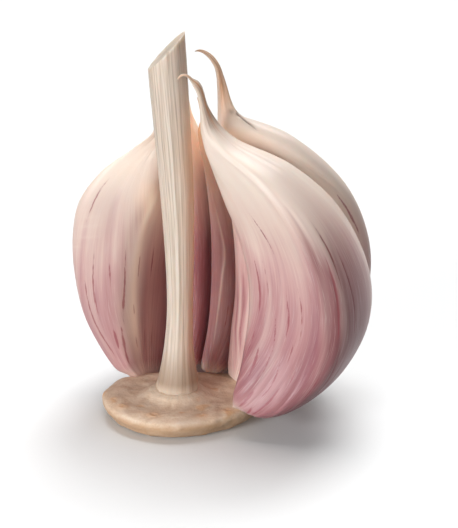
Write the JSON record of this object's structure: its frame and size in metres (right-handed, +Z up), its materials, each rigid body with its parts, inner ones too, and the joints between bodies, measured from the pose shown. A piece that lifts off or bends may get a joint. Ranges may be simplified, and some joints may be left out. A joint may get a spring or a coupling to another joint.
{
  "type": "garlic bulb",
  "caption": "Hardneck garlic bulb broken half open: cloves in pink skins standing round a dry cut stem on a round woody basal plate.",
  "frame": {"origin": "on the surface that the bulb rests on, under the foot of the stem", "axes": "+Z up along the stem; the broken-open side faces -Y and -X, and the cloves stand from +X round to -X by way of +Y"},
  "size_m": [0.0488, 0.0431, 0.0629],
  "materials": {
    "clove_skin": "satin papery skin, ivory at the neck and mauve pink below, with thin crimson streaks along the clove",
    "stem": "matt, dry, with fine upright fibres",
    "basal_plate": "matt, woody, with swirls and a pale ring round the stem"
  },
  "bodies": {
    "root": {"basal_plate": "basal_plate", "stem": "stem", "clove_front_right": "clove_skin", "clove_right": "clove_skin", "clove_back_right": "clove_skin", "clove_back": "clove_skin", "clove_left": "clove_skin"}
  },
  "joints": []
}
